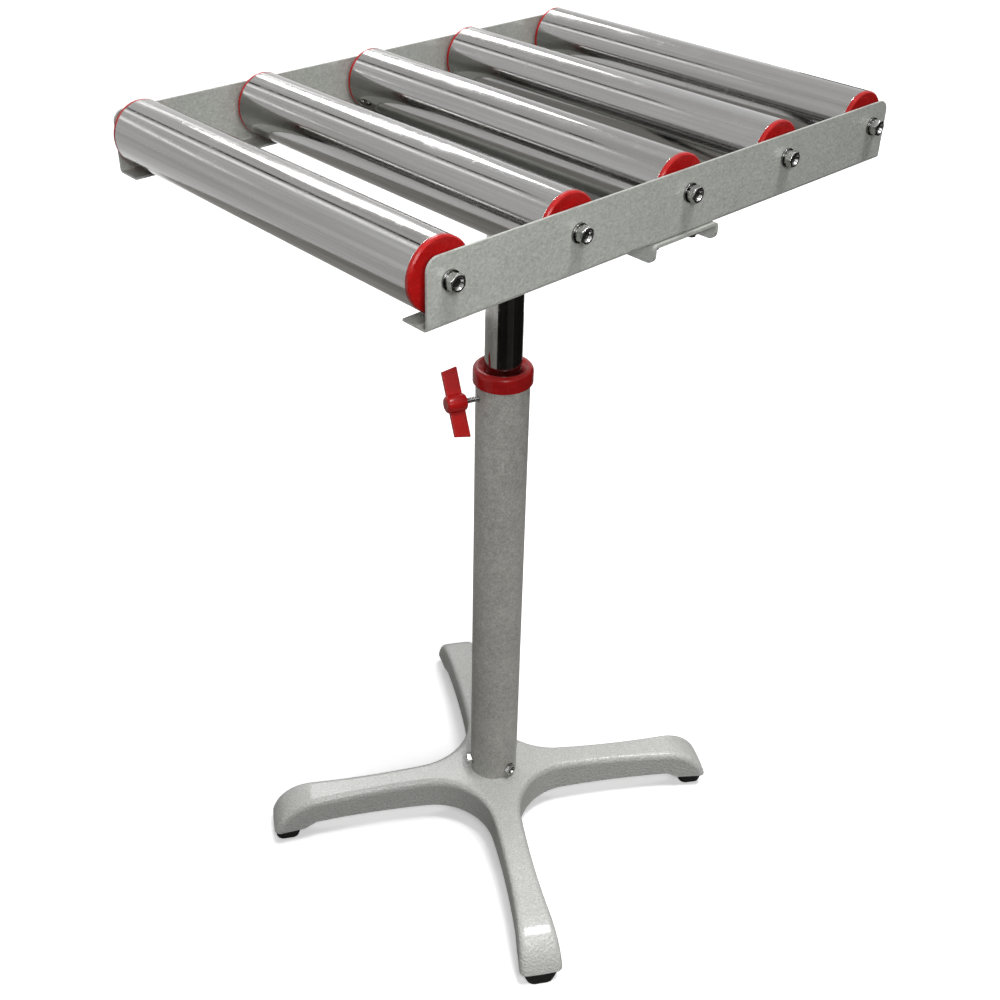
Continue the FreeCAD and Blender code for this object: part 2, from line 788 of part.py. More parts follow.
def save_table():
    rail = make_rail()
    save("rail_front", [rail])
    save("rail_rear", [opposite(rail)])
    bolts = []
    plain_washers = []
    spring_washers = []
    spacers = []
    inner_rings = []
    plain = ring(m8_washer_radius, m8_radius + hole_gap, m8_washer)
    spring = spring_washer()
    spacer = ring(spacer_radius, axle_radius + press_gap, rail_inner - bearing_face)
    stack = rail_outer + m8_washer + m8_spring
    for index, x in enumerate(roller_places()):
        save("roller_axle_%d" % (index + 1), [make_axle(x)])
        for side in (-1, 1):
            turn = bolt_turn * (2 * index + side)
            seat = V(x, side * stack, axle_z)
            bolts.append(placed(hex_bolt(axle_bolt_length), seat, V(0, side, 0), turn))
            plain_washers.append(along_y(plain, x, rail_outer, side))
            spring_seat = V(x, side * (rail_outer + m8_washer), axle_z)
            spring_washers.append(placed(spring, spring_seat, V(0, side, 0), 2 * turn))
            spacers.append(along_y(spacer, x, bearing_face, side))
            inner_rings.append(along_y(make_bearing_inner(), x, bearing_face, side))
    save("axle_bolts", bolts)
    save("axle_plain_washers", plain_washers)
    save("axle_spring_washers", spring_washers)
    save("axle_spacers", spacers)
    save("bearing_inner_rings", inner_rings)


def save_rollers():
    cap = make_cap()
    bearing = make_bearing_outer()
    for index, x in enumerate(roller_places()):
        number = index + 1
        save("roller_tube_%d" % number, [make_roller_tube(x)])
        save("roller_caps_%d" % number, [along_y(cap, x, cap_face, side) for side in (-1, 1)])
        save("roller_bearings_%d" % number, [along_y(bearing, x, bearing_face, side) for side in (-1, 1)])


def main():
    os.makedirs("parts", exist_ok=True)
    save_stand()
    save_clamp()
    save_post()
    save_table()
    save_rollers()


main()
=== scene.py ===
"""Finishes, small details, studio and camera for a height-adjustable roller support stand."""

import math

import bpy
from bpy.props import FloatProperty, FloatVectorProperty, IntProperty, PointerProperty
from mathutils import Matrix, Vector


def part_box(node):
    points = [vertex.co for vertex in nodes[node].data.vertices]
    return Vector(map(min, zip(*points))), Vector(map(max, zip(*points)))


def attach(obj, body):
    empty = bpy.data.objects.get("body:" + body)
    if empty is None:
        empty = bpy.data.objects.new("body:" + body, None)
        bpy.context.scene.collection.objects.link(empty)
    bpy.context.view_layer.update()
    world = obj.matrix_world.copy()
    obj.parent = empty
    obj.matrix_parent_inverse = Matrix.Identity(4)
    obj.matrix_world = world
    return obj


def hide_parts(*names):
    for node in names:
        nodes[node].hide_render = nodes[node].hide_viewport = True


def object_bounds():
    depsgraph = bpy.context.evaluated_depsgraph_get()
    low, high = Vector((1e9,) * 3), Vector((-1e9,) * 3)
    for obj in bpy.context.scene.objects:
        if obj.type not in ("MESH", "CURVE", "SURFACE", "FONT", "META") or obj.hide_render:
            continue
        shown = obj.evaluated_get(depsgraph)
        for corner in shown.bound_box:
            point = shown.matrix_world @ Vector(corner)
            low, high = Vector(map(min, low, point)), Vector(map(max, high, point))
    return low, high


bl_info = {
    "name": "Roller Stand Finishes",
    "version": (1, 0, 0),
    "blender": (4, 5, 0),
    "location": "View3D > Sidebar > Roller Stand",
    "description": "Dresses the parts of an adjustable roller support stand and sets up its studio",
    "category": "Object",
}

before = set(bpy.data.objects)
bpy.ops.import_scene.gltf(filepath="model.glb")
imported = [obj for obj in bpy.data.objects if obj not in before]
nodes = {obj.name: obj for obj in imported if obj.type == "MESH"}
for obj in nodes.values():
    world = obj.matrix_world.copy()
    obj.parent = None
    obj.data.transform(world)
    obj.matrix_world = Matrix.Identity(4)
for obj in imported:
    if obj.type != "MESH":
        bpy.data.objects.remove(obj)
cad_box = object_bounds()

MILLIMETRE = 0.001
WHITE = (1.0, 1.0, 1.0, 1.0)


def named(start):
    """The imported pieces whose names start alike, such as the five roller tubes."""
    return [name for name in nodes if name.startswith(start)]


def along(name, axis):
    """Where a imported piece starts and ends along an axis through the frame's origin."""
    places = [corner.co.dot(axis) for corner in nodes[name].data.vertices]
    return min(places), max(places)


def colour_property(name, description, default):
    return FloatVectorProperty(
        name=name, description=description, subtype="COLOR", size=3, min=0.0, max=1.0, default=default
    )


def length_property(name, description, default):
    return FloatProperty(
        name=name, description=description, subtype="DISTANCE", unit="LENGTH", min=0.0, default=default
    )


def place_property(name, description, default):
    return FloatVectorProperty(
        name=name, description=description, subtype="TRANSLATION", unit="LENGTH", size=3, default=default
    )


def share_property(name, description, default):
    return FloatProperty(
        name=name, description=description, subtype="FACTOR", min=0.0, max=1.0, default=default
    )


def angle_property(name, description, degrees):
    return FloatProperty(
        name=name, description=description, subtype="ANGLE", default=math.radians(degrees)
    )


def number_property(name, description, default):
    return FloatProperty(name=name, description=description, min=0.0, default=default)


def sides_property(name, description, default):
    return FloatVectorProperty(
        name=name, description=description, unit="LENGTH", size=2, min=0.0, default=default
    )


class PaintSettings(bpy.types.PropertyGroup):
    """Colours and grain of the painted castings, tube and sheet metal."""

    base_colour: colour_property("Base enamel", "Enamel on the cast cross base", (0.54, 0.545, 0.52))
    column_colour: colour_property("Column paint", "Hammered paint on the tube", (0.47, 0.465, 0.43))
    rail_colour: colour_property("Rail paint", "Paint on the rails and the saddle", (0.44, 0.453, 0.418))
    bare_colour: colour_property("Bare edge", "Metal where paint is rubbed off", (0.33, 0.32, 0.30))
    dirt_colour: colour_property("Hand marks", "Faint dirt in dull smears", (0.30, 0.295, 0.27))
    base_mottle: share_property("Base mottle", "How much the base's colour varies", 0.10)
    column_mottle: share_property("Column mottle", "How much the column's colour varies", 0.42)
    rail_mottle: share_property("Rail mottle", "How much the rails' colour varies", 0.16)
    mottle_size: length_property("Mottle size", "Size of a light or dark patch in the paint", 0.006)
    peel_size: length_property("Orange peel", "Size of the ripples in the enamel", 0.0026)
    edge_width: length_property("Worn edge", "Width of the worn line on sharp edges", 0.0008)


class MetalSettings(bpy.types.PropertyGroup):
    """Colours and tool marks of the bare and plated metal."""

    roller_colour: colour_property("Roller steel", "Drawn steel of the rollers", (0.42, 0.418, 0.415))
    roller_stain: colour_property("Roller stain", "Oily tint in the draw lines", (0.19, 0.175, 0.155))
    chrome_colour: colour_property("Chrome", "Chromed post", (0.40, 0.395, 0.38))
    chrome_stain: colour_property("Chrome stain", "Tint in the post's lines", (0.16, 0.155, 0.15))
    zinc_colour: colour_property("Zinc", "Plated bolts, nuts and washers", (0.55, 0.55, 0.54))
    axle_colour: colour_property("Axle steel", "Steel of axles and spacers", (0.42, 0.415, 0.40))
    axle_stain: colour_property("Axle stain", "Oily tint in the turned lines", (0.22, 0.2, 0.18))
    bearing_colour: colour_property("Bearing steel", "Ground bearing rings", (0.5, 0.5, 0.49))
    spring_colour: colour_property("Spring steel", "Snap ring", (0.3, 0.3, 0.29))
    weld_colour: colour_property("Weld", "Brushed weld under its paint", (0.36, 0.36, 0.345))
    # Painted shade: near-black colour laid into the sheltered corners and recesses of fasteners.
    painted_shade_colour: colour_property("Grime", "Dirt in the corners of fasteners", (0.035, 0.034, 0.032))
    roller_line: length_property("Roller line", "Spacing of the lines along a roller", 0.0016)
    post_line: length_property("Post line", "Spacing of the lines along the post", 0.0024)
    axle_line: length_property("Axle line", "Spacing of the lines along an axle", 0.001)


class MouldedSettings(bpy.types.PropertyGroup):
    """Colours of the moulded plastic and rubber pieces."""

    red_colour: colour_property("Red plastic", "Caps, collar and wing handle", (0.46, 0.009, 0.009))
    red_wear: colour_property("Rubbed red", "Red plastic on rubbed edges", (0.66, 0.07, 0.06))
    rubber_colour: colour_property("Black rubber", "Feet", (0.012, 0.012, 0.012))
    rubber_wear: colour_property("Rubbed rubber", "Rubber on rubbed edges", (0.06, 0.06, 0.06))
    black_colour: colour_property("Black nylon", "End plug of the post", (0.018, 0.018, 0.019))
    black_wear: colour_property("Rubbed black", "Black nylon on edges", (0.07, 0.07, 0.07))
    white_colour: colour_property("White nylon", "Guide bush and clamp pad", (0.68, 0.67, 0.62))
    white_wear: colour_property("Rubbed white", "White nylon on edges", (0.5, 0.48, 0.42))
    flow_size: length_property("Flow marks", "Size of the faint clouds in moulded plastic", 0.011)


class DetailSettings(bpy.types.PropertyGroup):
    """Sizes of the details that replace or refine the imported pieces."""

    clamp_pitch: length_property("Clamp thread pitch", "Pitch of the clamp screw's thread", 0.001)
    thread_depth: length_property("Thread depth", "Depth of the clamp screw's thread", 0.0005)
    weld_ripples: IntProperty(name="Weld ripples", description="Ripples round the weld", default=46)
    weld_ripple_depth: length_property("Ripple depth", "Height of a ripple in the weld", 0.00045)


class StudioSettings(bpy.types.PropertyGroup):
    """Floor, lamps, background and camera."""

    floor_size: length_property("Floor size", "Side of the floor", 60.0)
    floor_bounce: share_property("Floor bounce", "Share of light the floor throws back up", 0.22)
    floor_glow: number_property("Floor glow", "Overexposure of the floor in the picture", 0.36)
    world_strength: number_property("Fill", "Strength of the soft fill light", 0.085)
    key_strength: number_property("Key", "Strength of the overhead light", 2.55)
    key_softness: angle_property("Key softness", "Width of the overhead light in the sky", 18)
    key_toward: FloatVectorProperty(
        name="Key direction", description="From the stand toward the overhead light",
        subtype="DIRECTION", size=3, default=(0.05, -0.23, 1.0),
    )
    front_power: number_property("Front power", "Power of the light at the front left", 11.5)
    front_size: sides_property("Front size", "Sides of the front light", (0.62, 0.5))
    front_place: place_property("Front place", "Where it stands", (-0.75, -1.15, 1.5))
    strip_power: number_property("Strip power", "Power of the strip behind", 2.6)
    strip_size: sides_property("Strip size", "Sides of the strip", (3.8, 0.14))
    strip_place: place_property("Strip place", "Middle of the strip", (0.1, 2.4, 1.88))
    line_power: number_property("Line power", "Power of the thin strip above", 1.0)
    line_size: sides_property("Line size", "Sides of the thin strip", (0.20, 1.4))
    line_place: place_property("Line place", "Middle of the thin strip", (-0.60, 1.65, 2.09))
    box_power: number_property("Box power", "Power of the box behind on the right", 12.5)
    box_size: sides_property("Box size", "Sides of the box", (0.9, 0.45))
    box_place: place_property("Box place", "Middle of the box", (0.95, 1.9, 2.25))
    flag_radius: length_property("Flag radius", "From the column to the dark flag", 0.8)
    flag_height: length_property("Flag height", "Height of the dark flag", 0.95)
    flag_start: angle_property("Flag start", "Where the dark flag starts, from +X", 187)
    flag_sweep: angle_property("Flag sweep", "How far round the flag goes", 188)
    faded_start: IntProperty(name="Faded from", description="First faded panel of the flag", default=19)
    faded_end: IntProperty(name="Faded to", description="Last faded panel of the flag", default=33)
    cloth_radius: length_property("Cloth radius", "Radius of the grey cloth round the feet", 1.4)
    card_place: place_property("Card place", "Middle of the dark card above", (-0.33, 1.65, 2.09))
    card_size: sides_property("Card size", "Sides of the dark card", (0.12, 1.5))
    black_dark: colour_property("Black cloth", "Dark areas of the flag", (0.012, 0.012, 0.011))
    black_light: colour_property("Black sheen", "Light areas of the flag", (0.05, 0.048, 0.045))
    faded_dark: colour_property("Faded cloth", "Dark areas where it's faded", (0.10, 0.097, 0.09))
    faded_light: colour_property("Faded sheen", "Light areas where it's faded", (0.17, 0.165, 0.155))
    grey_dark: colour_property("Grey cloth", "Dark areas round the feet", (0.26, 0.25, 0.235))
    grey_light: colour_property("Grey sheen", "Light areas round the feet", (0.40, 0.39, 0.37))
    camera_place: place_property("Camera place", "Where it stands", (-0.7970, -0.8272, 1.2338))
    camera_azimuth: angle_property("Camera azimuth", "Direction round the stand", -43.07)
    camera_elevation: angle_property("Camera elevation", "Angle above the horizon", 33.45)
    camera_roll: angle_property("Camera roll", "Turn about the line of sight", 0.97)
    focal_share: number_property("Focal share", "Focal length over the picture's width", 1.3042)
    middle_x: share_property("Middle X", "Optical centre, from the left edge", 0.4839)
    middle_y: share_property("Middle Y", "Optical centre, from the top edge", 0.4849)


SETTINGS = {
    "stand_paint": PaintSettings,
    "stand_metal": MetalSettings,
    "stand_moulded": MouldedSettings,
    "stand_detail": DetailSettings,
    "stand_studio": StudioSettings,
}


class Tree:
    """Shorthand for adding and joining the nodes of one node tree."""

    MIX_SHARE = 0
    MIX_COLOURS = (6, 7)
    MIX_RESULT = 2

    def __init__(self, tree):
        self.tree = tree

    def add(self, kind, inputs=None, **settings):
        node = self.tree.nodes.new(kind)
        for name, value in settings.items():
            setattr(node, name, value)
        for name, value in (inputs or {}).items():
            self.set(node.inputs[name], value)
        return node

    def set(self, socket, value):
        """Join a socket to an output, or give it a plain value."""
        if isinstance(value, bpy.types.NodeSocket):
            self.tree.links.new(value, socket)
        elif hasattr(value, "__len__") and len(value) == 3 and socket.type == "RGBA":
            socket.default_value = (*value, 1.0)
        else:
            socket.default_value = value

    def math(self, operation, first, second):
        node = self.add("ShaderNodeMath", operation=operation)
        self.set(node.inputs[0], first)
        self.set(node.inputs[1], second)
        return node.outputs[0]

    def vector(self, operation, first, second):
        node = self.add("ShaderNodeVectorMath", operation=operation)
        self.set(node.inputs[0], first)
        self.set(node.inputs[1], second)
        return node.outputs[0]

    def noise(self, vector, scale, detail, roughness):
        values = {"Vector": vector, "Scale": scale, "Detail": detail, "Roughness": roughness}
        return self.add("ShaderNodeTexNoise", values).outputs["Fac"]

    def span(self, value, low, high, to_low=0.0, to_high=1.0):
        """Map a value from one range to another, held within its ends."""
        values = {"Value": value, "From Min": low, "From Max": high, "To Min": to_low, "To Max": to_high}
        return self.add("ShaderNodeMapRange", values).outputs["Result"]

    def blend(self, share, first, second):
        node = self.add("ShaderNodeMix", data_type="RGBA")
        self.set(node.inputs[self.MIX_SHARE], share)
        for index, colour in zip(self.MIX_COLOURS, (first, second)):
            self.set(node.inputs[index], colour)
        return node.outputs[self.MIX_RESULT]

    def group(self, name, **inputs):
        node = self.add("ShaderNodeGroup")
        node.node_tree = bpy.data.node_groups[name]
        for socket, value in inputs.items():
            self.set(node.inputs[socket.replace("_", " ")], value)
        return node.outputs


def new_group(name, inputs, outputs):
    """An empty node group with its sockets, as (tree, inputs, output node)."""
    group = bpy.data.node_groups.new(name, "ShaderNodeTree")
    for socket_name, kind, default in inputs:
        socket = group.interface.new_socket(socket_name, in_out="INPUT", socket_type=kind)
        if default is not None:
            socket.default_value = default
    for socket_name, kind in outputs:
        group.interface.new_socket(socket_name, in_out="OUTPUT", socket_type=kind)
    tree = Tree(group)
    return tree, tree.add("NodeGroupInput").outputs, tree.add("NodeGroupOutput")


COLOUR = "NodeSocketColor"
NUMBER = "NodeSocketFloat"
VECTOR = "NodeSocketVector"


def build_paint_mottle():
    """Light and dark patches, and fine specks, in a coat of paint."""
    tree, given, made = new_group(
        "Paint Mottle",
        [("Vector", VECTOR, None), ("Colour", COLOUR, None), ("Amount", NUMBER, 0.2),
         ("Size", NUMBER, 0.006), ("Specks", NUMBER, 0.3)],
        [("Colour", COLOUR), ("Mask", NUMBER), ("Fine", NUMBER)],
    )
    cloud_scale = 0.09
    grain_scale = 3.2
    patch_share = 0.65
    scale = tree.math("DIVIDE", 1.0, given["Size"])
    patches = tree.noise(given["Vector"], scale, detail=4.0, roughness=0.62)
    broad = tree.math("MULTIPLY", scale, cloud_scale)
    clouds = tree.noise(given["Vector"], broad, detail=3.0, roughness=0.5)
    fine = tree.math("MULTIPLY", scale, grain_scale)
    grain = tree.noise(given["Vector"], fine, detail=3.0, roughness=0.7)
    patches = tree.math("MULTIPLY", patches, patch_share)
    clouds = tree.math("MULTIPLY", clouds, 1.0 - patch_share)
    mask = tree.span(tree.math("ADD", patches, clouds), low=0.32, high=0.68)
    shift = tree.math("MULTIPLY", tree.math("SUBTRACT", mask, 0.5), given["Amount"])
    speck = tree.math("MULTIPLY", tree.math("SUBTRACT", grain, 0.5), given["Specks"])
    gain = tree.math("ADD", 1.0, tree.math("ADD", shift, speck))
    scaled = tree.add("ShaderNodeVectorMath", operation="SCALE")
    tree.set(scaled.inputs[0], given["Colour"])
    tree.set(scaled.inputs["Scale"], gain)
    tree.set(made.inputs["Colour"], scaled.outputs[0])
    tree.set(made.inputs["Mask"], mask)
    tree.set(made.inputs["Fine"], grain)


def build_worn_edge():
    """Sharp edges, rounded for the light, and the mask where a finish is rubbed thin on them."""
    tree, given, made = new_group(
        "Worn Edge",
        [("Vector", VECTOR, None), ("Width", NUMBER, 0.001), ("Breakup", NUMBER, 120.0)],
        [("Mask", NUMBER), ("Edge", NUMBER), ("Normal", VECTOR)],
    )
    slight_turn = 0.992
    full_turn = 0.90
    rounded = tree.add("ShaderNodeBevel", samples=4)
    tree.set(rounded.inputs["Radius"], given["Width"])
    flat = tree.add("ShaderNodeNewGeometry").outputs["Normal"]
    dot = tree.add("ShaderNodeVectorMath", operation="DOT_PRODUCT")
    tree.set(dot.inputs[0], rounded.outputs[0])
    tree.set(dot.inputs[1], flat)
    edge = tree.span(dot.outputs["Value"], low=slight_turn, high=full_turn)
    broken = tree.noise(given["Vector"], given["Breakup"], detail=4.0, roughness=0.65)
    broken = tree.span(broken, low=0.44, high=0.62)
    tree.set(made.inputs["Mask"], tree.math("MULTIPLY", edge, broken))
    tree.set(made.inputs["Edge"], edge)
    tree.set(made.inputs["Normal"], rounded.outputs[0])


def build_orange_peel():
    """Height of the soft ripples that sprayed paint leaves, with fine dust nibs."""
    tree, given, made = new_group(
        "Orange Peel",
        [("Vector", VECTOR, None), ("Size", NUMBER, 0.004), ("Nibs", NUMBER, 0.2)],
        [("Height", NUMBER)],
    )
    nib_scale = 0.55
    nib_foot = 0.13
    nib_top = 0.03
    scale = tree.math("DIVIDE", 1.0, given["Size"])
    ripple = tree.noise(given["Vector"], scale, detail=2.0, roughness=0.45)
    spots = tree.add("ShaderNodeTexVoronoi", feature="F1", distance="EUCLIDEAN")
    tree.set(spots.inputs["Vector"], given["Vector"])
    tree.set(spots.inputs["Scale"], tree.math("MULTIPLY", scale, nib_scale))
    nib = tree.span(spots.outputs["Distance"], low=nib_foot, high=nib_top)
    raised = tree.math("MULTIPLY", nib, given["Nibs"])
    tree.set(made.inputs["Height"], tree.math("ADD", ripple, raised))


def build_draw_lines():
    """Long lines and fine grain in a drawn or turned metal piece, from a stretched coordinate."""
    tree, given, made = new_group(
        "Draw Lines",
        [("Vector", VECTOR, None), ("Stretch", VECTOR, (1.0, 0.01, 1.0)),
         ("Spacing", NUMBER, 0.0016)],
        [("Fine", NUMBER), ("Broad", NUMBER), ("Grain", NUMBER), ("Height", NUMBER)],
    )
    broad_scale = 0.16
    grain_share = 0.55
    scale = tree.math("DIVIDE", 1.0, given["Spacing"])
    stretched = tree.vector("MULTIPLY", given["Vector"], given["Stretch"])
    fine = tree.noise(stretched, scale, detail=4.0, roughness=0.6)
    broad = tree.noise(stretched, tree.math("MULTIPLY", scale, broad_scale), detail=3.0, roughness=0.55)
    tree.set(made.inputs["Fine"], tree.span(fine, low=0.3, high=0.7))
    tree.set(made.inputs["Broad"], tree.span(broad, low=0.34, high=0.66))
    grain_scale = tree.math("DIVIDE", scale, grain_share)
    grain = tree.noise(given["Vector"], grain_scale, detail=3.0, roughness=0.75)
    tree.set(made.inputs["Grain"], tree.span(grain, low=0.36, high=0.66, to_low=0.0, to_high=0.26))
    tree.set(made.inputs["Height"], fine)


def build_handling_marks():
    """Scuffs and dull smears from handling, sparse and uneven."""
    tree, given, made = new_group(
        "Handling Marks",
        [("Vector", VECTOR, None), ("Scale", NUMBER, 30.0), ("Amount", NUMBER, 0.3)],
        [("Smear", NUMBER), ("Scratch", NUMBER)],
    )
    scratch_edge = 0.965
    smear = tree.noise(given["Vector"], given["Scale"], detail=5.0, roughness=0.6)
    smear = tree.span(smear, low=0.48, high=0.74)
    values = {"Vector": given["Vector"], "Scale": given["Scale"], "Distortion": 22.0, "Detail": 4.0}
    crossing = tree.add("ShaderNodeTexWave", values, wave_type="BANDS", bands_direction="DIAGONAL")
    scratch = tree.span(crossing.outputs["Fac"], low=scratch_edge, high=1.0)
    tree.set(made.inputs["Smear"], tree.math("MULTIPLY", smear, given["Amount"]))
    tree.set(made.inputs["Scratch"], tree.math("MULTIPLY", scratch, given["Amount"]))


def build_plate_crystals():
    """Fine crystals and wide dull clouds in a plated or ground surface."""
    tree, given, made = new_group(
        "Plate Crystals",
        [("Vector", VECTOR, None), ("Crystal Scale", NUMBER, 900.0), ("Cloud Scale", NUMBER, 160.0)],
        [("Crystals", NUMBER), ("Clouds", NUMBER)],
    )
    crystals = tree.noise(given["Vector"], given["Crystal Scale"], detail=3.0, roughness=0.6)
    clouds = tree.noise(given["Vector"], given["Cloud Scale"], detail=3.0, roughness=0.55)
    tree.set(made.inputs["Crystals"], crystals)
    tree.set(made.inputs["Clouds"], tree.span(clouds, low=0.38, high=0.66))


def build_painted_corner_shade():
    """Painted shade: a mask from ambient occlusion that darkens sheltered corners and recesses."""
    tree, given, made = new_group(
        "Painted Corner Shade",
        [("Reach", NUMBER, 0.006), ("Amount", NUMBER, 0.85)],
        [("Mask", NUMBER)],
    )
    # Ambient occlusion finds where shade falls, and the mask lays painted shade there.
    shelter = tree.add("ShaderNodeAmbientOcclusion", {"Distance": given["Reach"]}, samples=6)
    values = {"low": 0.92, "high": 0.45, "to_low": 0.0, "to_high": given["Amount"]}
    tree.set(made.inputs["Mask"], tree.span(shelter.outputs["AO"], **values))


def build_flow_marks():
    """Faint clouds, and the height of the fine skin, that moulding leaves in plastic or rubber."""
    tree, given, made = new_group(
        "Flow Marks",
        [("Vector", VECTOR, None), ("Size", NUMBER, 0.01)],
        [("Flow", NUMBER), ("Height", NUMBER)],
    )
    pore_scale = 1500.0
    pore_relief = 0.25
    ripple_scale = 210.0
    scale = tree.math("DIVIDE", 1.0, given["Size"])
    flow = tree.noise(given["Vector"], scale, detail=3.0, roughness=0.6)
    pores = tree.noise(given["Vector"], pore_scale, detail=2.0, roughness=0.5)
    ripple = tree.noise(given["Vector"], ripple_scale, detail=2.0, roughness=0.5)
    tree.set(made.inputs["Flow"], flow)
    height = tree.math("ADD", tree.math("MULTIPLY", pores, pore_relief), ripple)
    tree.set(made.inputs["Height"], height)


def build_cloth_clouds():
    """Lighter and darker areas of a matt studio cloth."""
    tree, given, made = new_group(
        "Cloth Clouds",
        [("Vector", VECTOR, None), ("Scale", NUMBER, 5.0)],
        [("Mask", NUMBER)],
    )
    clouds = tree.noise(given["Vector"], given["Scale"], detail=3.0, roughness=0.6)
    tree.set(made.inputs["Mask"], tree.span(clouds, low=0.35, high=0.65))


def build_groups():
    """The shader groups that the materials share."""
    build_paint_mottle()
    build_worn_edge()
    build_orange_peel()
    build_draw_lines()
    build_handling_marks()
    build_plate_crystals()
    build_painted_corner_shade()
    build_flow_marks()
    build_cloth_clouds()


def new_material(name):
    """A node material as (material, tree, shader, coordinates of the piece's own frame)."""
    material = bpy.data.materials.new(name)
    material.use_nodes = True
    tree = Tree(material.node_tree)
    shader = material.node_tree.nodes["Principled BSDF"]
    place = tree.add("ShaderNodeTexCoord").outputs["Object"]
    return material, tree, shader, place


def shade(colour, factor):
    """A colour made darker or brighter, held to what a material can reflect."""
    return tuple(min(1.0, channel * factor) for channel in colour)


def bump(tree, height, distance, normal):
    """Relief of a given depth in metres, laid on the rounded edges."""
    values = {"Height": height, "Distance": distance, "Strength": 1.0, "Normal": normal}
    return tree.add("ShaderNodeBump", values).outputs["Normal"]


def painted(name, colour, mottle, specks, gloss, coat, peel, wear):
    """Sprayed paint over metal: mottled colour, orange peel and rubbed edges."""
    settings = bpy.context.scene.stand_paint
    material, tree, shader, place = new_material(name)
    dirt_share = 0.16
    dirt_dulling = 0.22
    wear_dulling = 0.2
    grain_relief = 0.22
    coat_colour = tree.group(
        "Paint Mottle", Vector=place, Colour=colour, Amount=mottle,
        Size=settings.mottle_size, Specks=specks,
    )
    worn = tree.group("Worn Edge", Vector=place, Width=settings.edge_width)
    marks = tree.group("Handling Marks", Vector=place, Scale=22.0, Amount=0.5)
    ripples = tree.group("Orange Peel", Vector=place, Size=settings.peel_size, Nibs=0.35)
    rubbed = tree.math("MULTIPLY", worn["Mask"], wear)
    dirty = tree.math("MULTIPLY", marks["Smear"], dirt_share)
    base = tree.blend(dirty, coat_colour["Colour"], tuple(settings.dirt_colour))
    base = tree.blend(rubbed, base, tuple(settings.bare_colour))
    tree.set(shader.inputs["Base Color"], base)
    rough = tree.span(coat_colour["Mask"], low=0.0, high=1.0, to_low=gloss * 0.86, to_high=gloss * 1.16)
    rough = tree.math("ADD", rough, tree.math("MULTIPLY", marks["Smear"], dirt_dulling))
    rough = tree.math("ADD", rough, tree.math("MULTIPLY", rubbed, wear_dulling))
    tree.set(shader.inputs["Roughness"], rough)
    shader.inputs["Coat Weight"].default_value = coat
    shader.inputs["Coat Roughness"].default_value = gloss * 0.42
    grain = tree.math("MULTIPLY", coat_colour["Fine"], grain_relief)
    height = tree.math("ADD", ripples["Height"], grain)
    tree.set(shader.inputs["Normal"], bump(tree, height, peel, worn["Normal"]))
    return material


def drawn_metal(name, colour, tint, stretch, spacing, gloss, tint_share, depth):
    """Bare or plated metal with lines along its length, a faint tint and dull smears."""
    material, tree, shader, place = new_material(name)
    line_share = 0.34
    smear_dulling = 0.14
    scratch_dulling = 0.1
    lines = tree.group("Draw Lines", Vector=place, Stretch=stretch, Spacing=spacing)
    marks = tree.group("Handling Marks", Vector=place, Scale=26.0, Amount=0.8)
    worn = tree.group("Worn Edge", Vector=place, Width=0.0006, Breakup=300.0)
    streak = tree.math("MULTIPLY", lines["Broad"], tint_share)
    base = tree.blend(streak, colour, tint)
    fine = tree.math("MULTIPLY", lines["Fine"], line_share)
    base = tree.blend(fine, base, shade(colour, 0.5))
    base = tree.blend(lines["Grain"], base, shade(colour, 0.45))
    base = tree.blend(worn["Edge"], base, shade(colour, 1.35))
    tree.set(shader.inputs["Base Color"], base)
    shader.inputs["Metallic"].default_value = 1.0
    rough = tree.span(lines["Fine"], low=0.0, high=1.0, to_low=gloss * 0.75, to_high=gloss * 1.3)
    rough = tree.math("ADD", rough, tree.math("MULTIPLY", marks["Smear"], smear_dulling))
    rough = tree.math("ADD", rough, tree.math("MULTIPLY", marks["Scratch"], scratch_dulling))
    tree.set(shader.inputs["Roughness"], rough)
    tree.set(shader.inputs["Normal"], bump(tree, lines["Height"], depth, worn["Normal"]))
    return material


def plated(name, colour, gloss):
    """Zinc or nickel plate on small pieces: faint crystals, brighter edges, dull spots, painted corner
    shade.
    """
    material, tree, shader, place = new_material(name)
    shade_reach = 6 * MILLIMETRE
    crystal_depth = 0.025 * MILLIMETRE
    plate = tree.group("Plate Crystals", Vector=place, Crystal_Scale=900.0, Cloud_Scale=160.0)
    corners = tree.group("Painted Corner Shade", Reach=shade_reach, Amount=0.85)
    worn = tree.group("Worn Edge", Vector=place, Width=0.0005, Breakup=400.0)
    base = tree.blend(plate["Clouds"], colour, shade(colour, 0.62))
    base = tree.blend(worn["Edge"], base, shade(colour, 1.3))
    # Painted shade: sheltered corners and recesses darkened towards near black.
    base = tree.blend(corners["Mask"], base, tuple(bpy.context.scene.stand_metal.painted_shade_colour))
    tree.set(shader.inputs["Base Color"], base)
    shader.inputs["Metallic"].default_value = 1.0
    crystals = plate["Crystals"]
    rough = tree.span(crystals, low=0.3, high=0.7, to_low=gloss * 0.75, to_high=gloss * 1.35)
    tree.set(shader.inputs["Roughness"], rough)
    tree.set(shader.inputs["Normal"], bump(tree, crystals, crystal_depth, worn["Normal"]))
    return material


